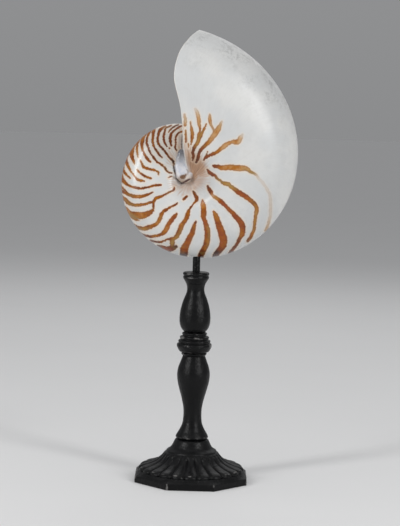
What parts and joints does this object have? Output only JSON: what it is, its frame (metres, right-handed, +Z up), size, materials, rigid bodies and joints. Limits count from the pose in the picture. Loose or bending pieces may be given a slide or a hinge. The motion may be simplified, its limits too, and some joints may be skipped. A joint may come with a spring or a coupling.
{
  "type": "mounted nautilus shell half",
  "caption": "Half nautilus shell cut along its plane of symmetry, held upright by a short rod on a black turned pedestal with an octagonal fluted base.",
  "frame": {"origin": "centre of the underside of the octagonal base, on the stand's axis", "axes": "+Z up along the stand; the shell's outer side faces -Y, its cut face with the chambers faces +Y, and its opening points to +Z and -X"},
  "size_m": [0.1386, 0.0884, 0.3561],
  "materials": {
    "stand_black": "satin black paint over cast metal",
    "rod_black": "blackened rod",
    "shell": "smooth cream shell with orange-brown stripes, pearly inside"
  },
  "bodies": {
    "root": {"base": "stand_black", "lower_baluster": "stand_black", "knop": "stand_black", "upper_baluster": "stand_black", "cap": "stand_black", "rod": "rod_black", "shell_half": "shell"}
  },
  "joints": []
}
